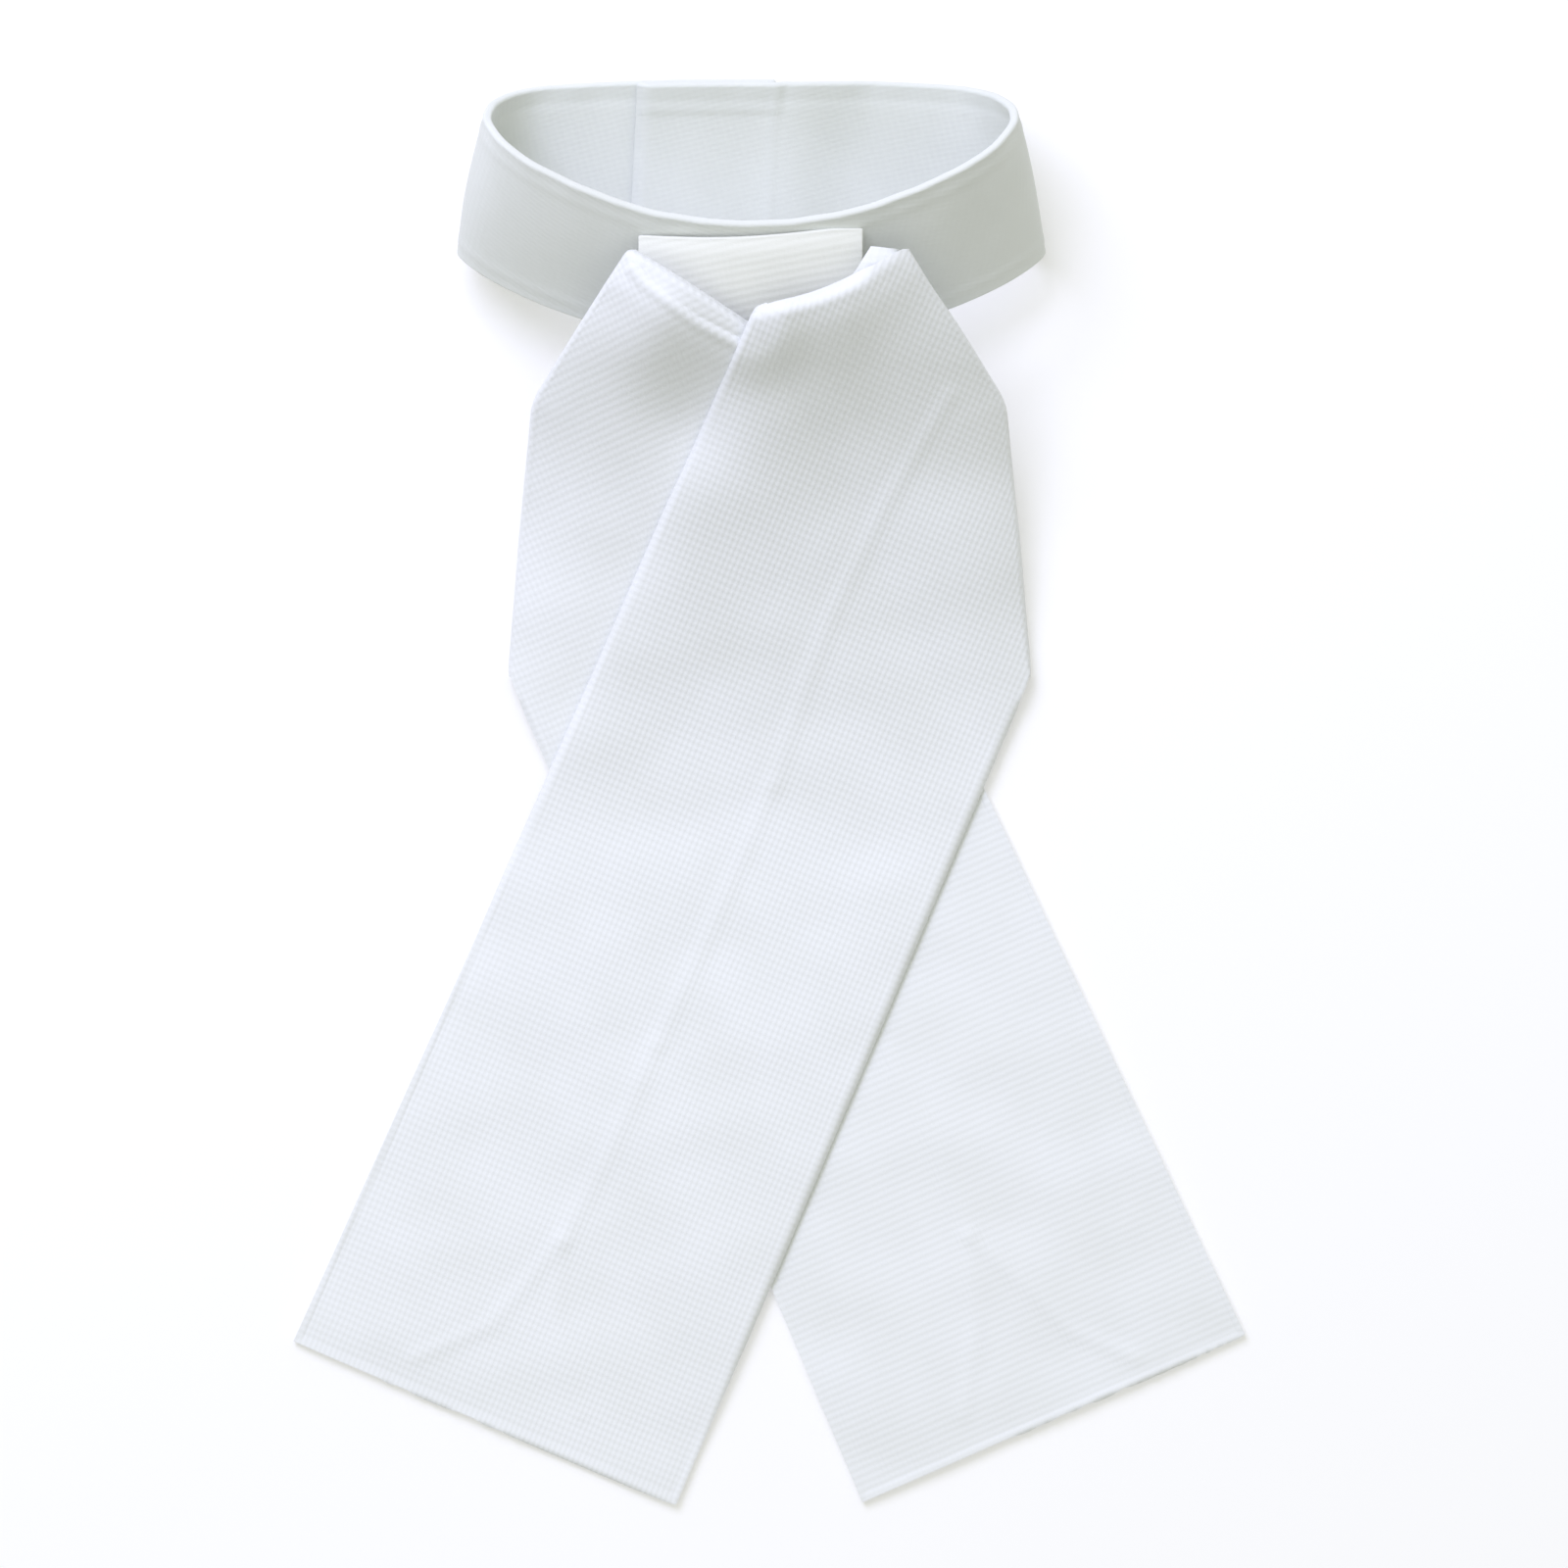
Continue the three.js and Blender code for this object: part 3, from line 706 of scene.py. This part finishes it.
class Tail:
    """Shape of one tail. up is the direction in plan that its length runs in, towards the top."""

    def __init__(self, rows, front_offset, ridges):
        self.rows = rows
        self.front_offset = front_offset
        self.ridges = ridges
        self.side = math.copysign(1, rows[0].outer_x)
        outer = np.array(side_of(rows, "outer"))
        steps = np.hypot(*np.diff(outer, axis=0).T)
        self.marks = np.concatenate([[0], np.cumsum(steps)])
        self.flap_end = self.marks[-2]
        self.length = self.marks[-1]
        down = (outer[-1] - outer[-2]) / steps[-1]
        self.up = -down
        self.right = np.array([self.up[1], -self.up[0]])

    def column(self, name, at):
        """One column of the table at distances along the outer side, with its corners softened."""
        values = [getattr(row, name) for row in self.rows]
        reach = np.minimum(CORNER_SOFTNESS, np.minimum(at, self.length - at))
        shifts = np.linspace(-1, 1, CORNER_SAMPLES)
        return np.mean([np.interp(at + shift * reach, self.marks, values) for shift in shifts], axis=0)

    def fold_size(self, at):
        """Radius of the fold, which closes at the last fold row."""
        return FOLD_RADIUS * (1 - smoothstep(at, self.flap_end - FOLD_CLOSES, self.flap_end))

    def flat_place(self, x, y):
        """Across and along the strip, for a place in plan."""
        return np.stack([x * self.right[0] + y * self.right[1], x * self.up[0] + y * self.up[1]], axis=1)

    def relief(self, x, y, edge):
        """Ridges, waves and the shape of the edges, added to the front layer."""
        height = HEM_HEIGHT * (1 - smoothstep(edge, *HEM_STEP)) + waves(x, y)
        for ridge in self.ridges:
            height = height + ridge.height * np.exp(-(distance_to(ridge.path, x, y) / ridge.width) ** 2)
        return height - hem_drop(self.rows, x, y) * np.exp(-(edge / DROP_WIDTH) ** 2)

    def front(self, u, v):
        """Front layer: u runs from the inner side to the fold, v from the end to the top edge."""
        at = (1 - v) * self.length
        fold = self.fold_size(at)
        outer_x = self.column("outer_x", at) - self.side * fold
        outer_y = self.column("outer_y", at)
        inner_x = self.column("inner_x", at)
        inner_y = self.column("inner_y", at)
        short = CORNER_RADIUS - np.minimum(at, CORNER_RADIUS)
        rounded = CORNER_RADIUS - np.sqrt(CORNER_RADIUS ** 2 - short ** 2)
        rounded = rounded / np.hypot(outer_x - inner_x, outer_y - inner_y)
        u = u - SIDE_FINENESS * np.sin(2 * math.pi * u) / (2 * math.pi)
        u = rounded + (1 - rounded) * u
        x = inner_x + (outer_x - inner_x) * u
        y = inner_y + (outer_y - inner_y) * u - self.column("bow", at) * np.sin(math.pi * u)
        width = np.hypot(outer_x - inner_x, outer_y - inner_y)
        single = smoothstep(at, self.flap_end, self.flap_end + FOLD_CLOSES)
        outer_edge = (1 - u) * width + (1 - single) * width
        edge = np.minimum(np.minimum((u - rounded) * width, outer_edge), self.length - at)
        offset = self.front_offset(x, y) + self.relief(x, y, edge)
        return np.stack([x, y, layer_height(offset, x, y)], axis=1), self.flat_place(x, y)

    def fold_and_rear(self, u, v):
        """Half circle of the fold and the layer behind: u runs round it, v up to the top edge."""
        at = (1 - v) ** END_FINENESS * self.flap_end
        fold = self.fold_size(at)
        start_x = self.column("outer_x", at) - self.side * fold
        start_y = self.column("outer_y", at)
        folded = FOLD_COLUMNS / (FOLD_COLUMNS + REAR_COLUMNS)
        turn = math.pi * np.minimum(u / folded, 1)
        part = np.maximum((u - folded) / (1 - folded), 0)
        rear_x = self.column("rear_x", at)
        rear_y = self.column("rear_y", at)
        x = start_x + (rear_x - start_x) * part
        y = start_y + (rear_y - start_y) * part
        front_offset = self.front_offset(start_x, start_y) + self.relief(start_x, start_y, np.inf)
        high = layer_height(front_offset, start_x, start_y)
        low = layer_height(rear_offset(self.rows, x, y, part), x, y)
        z = low + (high - low) * (1 + np.cos(turn)) / 2
        bulge = self.side * fold * np.sin(turn)
        arc = turn * (fold + (high - low) / 2) / 2
        flat_x, flat_y = self.unfolded(at, x - start_x, y - start_y, arc)
        return np.stack([x + bulge, y, z], axis=1), self.flat_place(start_x + flat_x, start_y + flat_y)

    def unfolded(self, at, x, y, arc):
        """Where a place behind the fold would lie in plan if the fold were opened out."""
        probe = 1.0
        fold_x = self.column("outer_x", at + probe) - self.column("outer_x", at - probe)
        fold_y = self.column("outer_y", at + probe) - self.column("outer_y", at - probe)
        size = np.hypot(fold_x, fold_y)
        fold_x, fold_y = fold_x / size, fold_y / size
        along = x * fold_x + y * fold_y
        out_x, out_y = -fold_y * self.side, fold_x * self.side
        return 2 * along * fold_x - x + out_x * arc, 2 * along * fold_y - y + out_y * arc

    def make(self, name, node):
        """Both grids as one piece. Their rows lie closest together near the end and the top edge."""
        bm = bmesh.new()
        bm.loops.layers.uv.new("weave")
        fold_rows = round(self.flap_end / CELL)
        free_rows = round((self.length - self.flap_end) / CELL)
        rows = fold_rows + free_rows
        split = free_rows / rows
        stretch = self.flap_end / self.length

        def front(u, v):
            free = np.clip(v / split, 0, 1) ** END_FINENESS * (1 - stretch)
            folded = 1 - np.clip((1 - v) / (1 - split), 0, 1) ** END_FINENESS * stretch
            return self.front(u, np.where(v < split, free, folded))

        cloth_grid(bm, FRONT_COLUMNS, rows, front)
        cloth_grid(bm, FOLD_COLUMNS + REAR_COLUMNS, fold_rows, self.fold_and_rear)
        piece = cloth_piece(name, bm, TAIL_THICKNESS, tail_cotton)
        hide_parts(node)
        return piece


print("a tail has", FRONT_COLUMNS, "columns in front and", FOLD_COLUMNS + REAR_COLUMNS, "behind")

# %% [markdown]
# The seams are the edges of the turnings inside the tails: one runs down the middle and forks near
# the end, where the two halves of the point are turned in. The rolls at the top edges have creases
# of their own: two on the under tail's level strip, and one on the over tail's.

# %% Over tail and under tail
SEAM_HEIGHT = 0.28
SEAM_WIDTH = 2.0
FAINT_SEAM_HEIGHT = SEAM_HEIGHT * 0.8
OVER_RIDGES = [
    Ridge(SEAM_HEIGHT, SEAM_WIDTH, [(44.9, 100.0), (29.4, 73.8), (15.9, 46.3), (9.0, 28.0), (1.0, 2.7)]),
    Ridge(SEAM_HEIGHT, SEAM_WIDTH, [(1.0, 2.7), (-15.8, -36.4), (-28.7, -63.6)]),
    Ridge(SEAM_HEIGHT, SEAM_WIDTH, [(-28.7, -63.6), (-41.6, -92.8), (-52.8, -113.7)]),
    Ridge(SEAM_HEIGHT, SEAM_WIDTH, [(-52.8, -113.7), (-70.9, -135.0), (-90.3, -143.3)]),
    Ridge(FAINT_SEAM_HEIGHT, SEAM_WIDTH, [(-52.8, -113.7), (-54.6, -133.3), (-48.1, -157.7)]),
    Ridge(0.5, 2.0, [(4.5, 119.2), (13.4, 121.6), (23.0, 125.8), (30.5, 131.5)]),
]
UNDER_RIDGES = [
    Ridge(SEAM_HEIGHT, SEAM_WIDTH, [(30.0, -65.2), (43.0, -91.2), (50.9, -112.4)]),
    Ridge(FAINT_SEAM_HEIGHT, SEAM_WIDTH, [(50.9, -112.4), (52.7, -133.4), (49.5, -157.9)]),
    Ridge(SEAM_HEIGHT, SEAM_WIDTH, [(50.9, -112.4), (63.9, -123.7), (76.9, -136.7), (93.2, -143.4)]),
    Ridge(0.2, 0.8, [(-30.0, 127.9), (-24.0, 123.3), (-17.5, 119.3), (-5.7, 113.5)]),
    Ridge(0.9, 1.1, [(-33.4, 129.3), (-31.0, 126.1), (-24.3, 120.8), (-18.3, 116.4), (-4.0, 109.4)]),
]
under_tail = Tail(UNDER_TAIL, under_front, UNDER_RIDGES).make("under_tail_cloth", "under_tail")
over_tail = Tail(OVER_TAIL, over_front, OVER_RIDGES).make("over_tail_cloth", "over_tail")

# %% [markdown]
# ## The yoke
#
# The yoke is the small panel that joins the tails to the neckband. Only its upper part shows, above
# the tails' top edges. It is a grid on the slope, a little lower than the tails. Its top edge sags a
# little between its corners, is turned in, so that it is plump, and comes down to the neckband.

# %% Yoke
YOKE_THICKNESS = 1.8
YOKE_HALF_WIDTH = 27.6
YOKE_FOOT_Y = 111.5
YOKE_LEFT_TOP_Y = 138.4
YOKE_RIGHT_TOP_Y = 140.1
YOKE_TOP_SAG = 1.5
YOKE_SAG_SQUEEZE = 1.15
YOKE_UNDER_SLOPE = 0.8
YOKE_HEM = 1.4
YOKE_EDGE_DROP = 1.0
YOKE_EDGE_REACH = 2.5
YOKE_COLUMNS = 80
YOKE_LINES = 50


def yoke_from_top(u, v):
    """Place of the yoke's top edge, and distance down from it. The sag ends before the right corner."""
    top_y = YOKE_LEFT_TOP_Y + (YOKE_RIGHT_TOP_Y - YOKE_LEFT_TOP_Y) * u
    top_y = top_y - YOKE_TOP_SAG * np.sin(math.pi * np.minimum(u * YOKE_SAG_SQUEEZE, 1))
    return top_y, (top_y - YOKE_FOOT_Y) * (1 - v)


def yoke_place(u, v):
    """The yoke lies on the slope, below the tails, and sinks at its top edge."""
    x = BAND_X + YOKE_HALF_WIDTH * (2 * u - 1)
    top_y, from_top = yoke_from_top(u, v)
    y = top_y - from_top
    edge_drop = YOKE_EDGE_DROP * np.exp(-(from_top / YOKE_EDGE_REACH) ** 2)
    below = YOKE_UNDER_SLOPE + YOKE_THICKNESS / 2 + edge_drop
    z = slope_height(x, y) - below * stretch_up(x, y)
    return np.stack([x, y, z], axis=1), np.stack([x, y], axis=1)


def yoke_plump(u, v):
    """The yoke's top edge is turned in."""
    return np.exp(-(yoke_from_top(u, v)[1] / YOKE_HEM) ** 2)


bm = bmesh.new()
bm.loops.layers.uv.new("weave")
cloth_grid(bm, YOKE_COLUMNS, YOKE_LINES, yoke_place, yoke_plump)
yoke = cloth_piece("yoke_cloth", bm, YOKE_THICKNESS, yoke_cotton)
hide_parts("yoke")

# %% [markdown]
# ## The neckband
#
# The neckband is a strip that stands on its long side and goes once round the neck, with its ends
# overlapped at the back. A table gives its upper edge, the rim, and its lower edge, the foot, for
# half of the loop, and the other half mirrors it. A smooth curve goes through each, and a point of
# the band lies between them, pushed inwards where one end lies inside the other. The rim, the foot
# and both ends are hemmed, so they are plumper, and a stitched groove runs beside the rim and the
# foot. The rim is slightly puckered, and the closure and the hidden end press through a little.

# %% Neckband table and curves
BandRow = namedtuple("BandRow", "rim_x rim_y rim_z foot_x foot_y foot_z")
BAND_ROWS = [
    BandRow(0.0, 180.9, 12.0, 0.0, 141.0, 1.0),
    BandRow(22.0, 180.7, 12.0, 24.0, 140.8, 1.0),
    BandRow(42.0, 179.9, 12.2, 47.5, 140.5, 1.0),
    BandRow(55.5, 178.5, 14.5, 63.0, 139.9, 1.5),
    BandRow(62.9, 175.0, 23.0, 70.9, 138.9, 4.5),
    BandRow(65.5, 169.7, 34.5, 73.5, 136.9, 10.5),
    BandRow(62.8, 163.7, 43.0, 70.4, 133.4, 15.8),
    BandRow(56.0, 157.6, 47.2, 62.6, 128.4, 18.6),
    BandRow(43.8, 151.1, 49.0, 48.3, 122.1, 19.8),
    BandRow(24.3, 144.1, 49.8, 25.8, 115.5, 19.9),
    BandRow(0.0, 141.3, 50.0, 0.0, 112.5, 20.2),
]
CURVE_STEPS = 60


def loop_curve(points):
    """A smooth closed curve through points. It gives its length, and the place at each part of it."""
    points = np.array(points)
    count = len(points)
    samples = []
    for k in range(count):
        before, start, end, after = (points[(k + shift) % count] for shift in (-1, 0, 1, 2))
        gap_before, gap, gap_after = (
            np.sqrt(np.linalg.norm(b - a)) for a, b in ((before, start), (start, end), (end, after)))
        way = (end - start) / gap
        leave = gap * ((start - before) / gap_before - (end - before) / (gap_before + gap) + way)
        arrive = gap * (way - (after - start) / (gap + gap_after) + (after - end) / gap_after)
        for part in np.linspace(0, 1, CURVE_STEPS, endpoint=False):
            square, cube = part ** 2, part ** 3
            samples.append(start * (2 * cube - 3 * square + 1) + leave * (cube - 2 * square + part)
                           + end * (3 * square - 2 * cube) + arrive * (cube - square))
    samples.append(points[0])
    samples = np.array(samples)
    travelled = np.concatenate([[0], np.cumsum(np.linalg.norm(np.diff(samples, axis=0), axis=1))])
    length = travelled[-1]

    def at(turn):
        distance = (turn - np.floor(turn)) * length
        return np.stack([np.interp(distance, travelled, samples[:, axis]) for axis in range(3)], axis=1)

    return at, length


def mirrored_loop(edge):
    """The whole of the rim or the foot, from the half in the table."""
    half = [[getattr(row, edge + "_" + axis) for axis in "xyz"] for row in BAND_ROWS]
    other = [(-x, y, z) for x, y, z in reversed(half[1:-1])]
    return [(BAND_X + x, y, z) for x, y, z in [*half, *other]]


rim_at, rim_length = loop_curve(mirrored_loop("rim"))
foot_at, foot_length = loop_curve(mirrored_loop("foot"))
loop_length = (rim_length + foot_length) / 2
print("neckband loop", round(loop_length, 1), "mm")

# %% Neckband relief
BAND_THICKNESS = 2.0
BAND_HEIGHT = 41.4
PATCH_THICKNESS = 1.2
PATCH_FOOT = 0.2
PATCH_TOP = 0.8
OVERLAP_END_X = 28.5
OVERLAP_START_X = 6.2
SETTLE_FROM = 3.0
HEM_WIDTH = 1.7
GROOVE_DEPTH = 0.16
GROOVE_PLACE = 4.4
GROOVE_WIDTH = 1.3
PUCKER_HEIGHT = 0.07
PUCKER_LENGTHS = (11.0, 17.3)
PRESSED_HEIGHT = 0.22
PRESSED_WIDTH = 1.1
RIM_TILT = 0.05
BAND_WAVE_HEIGHT = 0.35
BAND_WAVE_LENGTHS = (38.0, 61.0)
BAND_WAVE_SLANTS = (19.0, -27.0)
BAND_BOW = 2.2


def band_point(turn, height, inward):
    """turn goes once round the loop from the middle of the back, height from foot to rim."""
    probe = 0.004
    rim, foot = rim_at(turn), foot_at(turn)
    ahead = rim_at(turn + probe) + foot_at(turn + probe)
    behind = rim_at(turn - probe) + foot_at(turn - probe)
    inwards = np.cross(ahead - behind, rim - foot)
    inwards /= np.linalg.norm(inwards, axis=1)[:, None]
    return foot + (rim - foot) * height[:, None] + inwards * inward[:, None]


def band_wave(along, height):
    """Slow slanting waves that die out at the rim and the foot."""
    slow = 1.0
    for length, slant in zip(BAND_WAVE_LENGTHS, BAND_WAVE_SLANTS):
        slow = slow * np.sin(2 * math.pi * along / length + height / slant)
    return BAND_WAVE_HEIGHT * slow * np.sin(math.pi * height / BAND_HEIGHT)


def band_relief(along, height):
    """How far the band is pushed inwards by its grooves, puckers, waves and what presses through."""
    from_edge = np.minimum(height, BAND_HEIGHT - height)
    groove = GROOVE_DEPTH * np.exp(-((from_edge - GROOVE_PLACE) / GROOVE_WIDTH) ** 2)
    near_rim = np.exp(-((BAND_HEIGHT - height) / HEM_WIDTH / 2) ** 2)
    puckers = sum(np.sin(2 * math.pi * along / length) for length in PUCKER_LENGTHS)
    hidden_end = np.exp(-((along - OVERLAP_START_X) / PRESSED_WIDTH) ** 2)
    above_pad = np.maximum(height - PATCH_TOP * BAND_HEIGHT, 0)
    over_pad = smoothstep(along, -OVERLAP_END_X, -OVERLAP_END_X + SETTLE_FROM)
    over_pad = over_pad * (1 - smoothstep(along, OVERLAP_START_X, OVERLAP_START_X + SETTLE_FROM))
    lifted_rim = (PRESSED_HEIGHT * smoothstep(above_pad, 0, PRESSED_WIDTH) + RIM_TILT * above_pad) * over_pad
    pressed = PRESSED_HEIGHT * hidden_end + lifted_rim
    return pressed + PUCKER_HEIGHT * puckers * near_rim + band_wave(along, height) - groove


def band_bow(along, v):
    """How far the middle of the band's height sinks outwards at the back."""
    return BAND_BOW * np.sin(math.pi * v) * (1 + np.cos(2 * math.pi * along / loop_length)) / 2


middle = band_point(np.array([0.5]), np.array([1.0]), np.array([0.0]))[0]
print("the rim's middle in front is at", [round(float(part), 1) for part in middle])

# %% Neckband
SETTLE_TO = 26.0
END_SLANT = 2.5
END_PRESSED = 2.1
END_PRESSED_WIDTH = 1.6
BAND_COLUMNS = 420
BAND_LINES = 52


def band_along(u):
    """Distance round the loop from the middle of the back."""
    return -OVERLAP_END_X + (loop_length + OVERLAP_START_X + OVERLAP_END_X) * u


def band_place(u, v):
    """The end that lies inside is raised over the pad, and settles back on its way round the neck."""
    along = band_along(u)
    raised = BAND_THICKNESS + 2 * CLEARANCE + PATCH_THICKNESS
    inward = raised * (1 - smoothstep(along - OVERLAP_START_X, SETTLE_FROM, SETTLE_TO))
    inward = inward + band_relief(along, v * BAND_HEIGHT) - band_bow(along, v)
    inward = inward - END_PRESSED * np.exp(-((along + OVERLAP_END_X) / END_PRESSED_WIDTH) ** 2)
    turn = (along - END_SLANT * (1 - v) * (1 - u)) / loop_length
    return band_point(turn, v, inward), np.stack([turn * loop_length, v * BAND_HEIGHT], axis=1)


def band_plump(u, v):
    """The rim, the foot and both ends are hemmed."""
    from_end = np.minimum(u, 1 - u) * (loop_length + OVERLAP_START_X + OVERLAP_END_X)
    from_edge = np.minimum(np.minimum(v, 1 - v) * BAND_HEIGHT, from_end)
    return np.exp(-(from_edge / HEM_WIDTH) ** 2)


bm = bmesh.new()
bm.loops.layers.uv.new("weave")
cloth_grid(bm, BAND_COLUMNS, BAND_LINES, band_place, band_plump)
neckband = cloth_piece("neckband_cloth", bm, BAND_THICKNESS, band_cotton)
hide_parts("neckband")

# %% [markdown]
# ## The closure
#
# Between the overlapped ends lies a pad of hook-and-loop tape. It is hidden from above, so one
# plain pad is enough: a short strip of the same curve, with a rough, looped surface.

# %% Closure patch
PATCH_MARGIN = 2.5
PATCH_COLUMNS = 40
PATCH_LINES = 30


def patch_place(u, v):
    """The pad follows the band, just inside its outer end."""
    start = PATCH_MARGIN - OVERLAP_END_X
    end = OVERLAP_START_X - PATCH_MARGIN
    along = start + (end - start) * u
    turn = along / loop_length
    height = PATCH_FOOT + (PATCH_TOP - PATCH_FOOT) * v
    inward = (BAND_THICKNESS + PATCH_THICKNESS) / 2 + CLEARANCE - band_bow(along, height)
    points = band_point(turn, height, inward)
    return points, np.stack([turn * loop_length, height * BAND_HEIGHT], axis=1)


hook_tape = cotton(
    "hook_tape", pale=(0.78, 0.78, 0.77), deep=(0.70, 0.70, 0.69), relief=0.3 * MM, fine_share=1.0,
    turned=45)
bm = bmesh.new()
bm.loops.layers.uv.new("weave")
cloth_grid(bm, PATCH_COLUMNS, PATCH_LINES, patch_place)
closure_patch = cloth_piece("closure_pad", bm, PATCH_THICKNESS, hook_tape)
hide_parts("closure_patch")
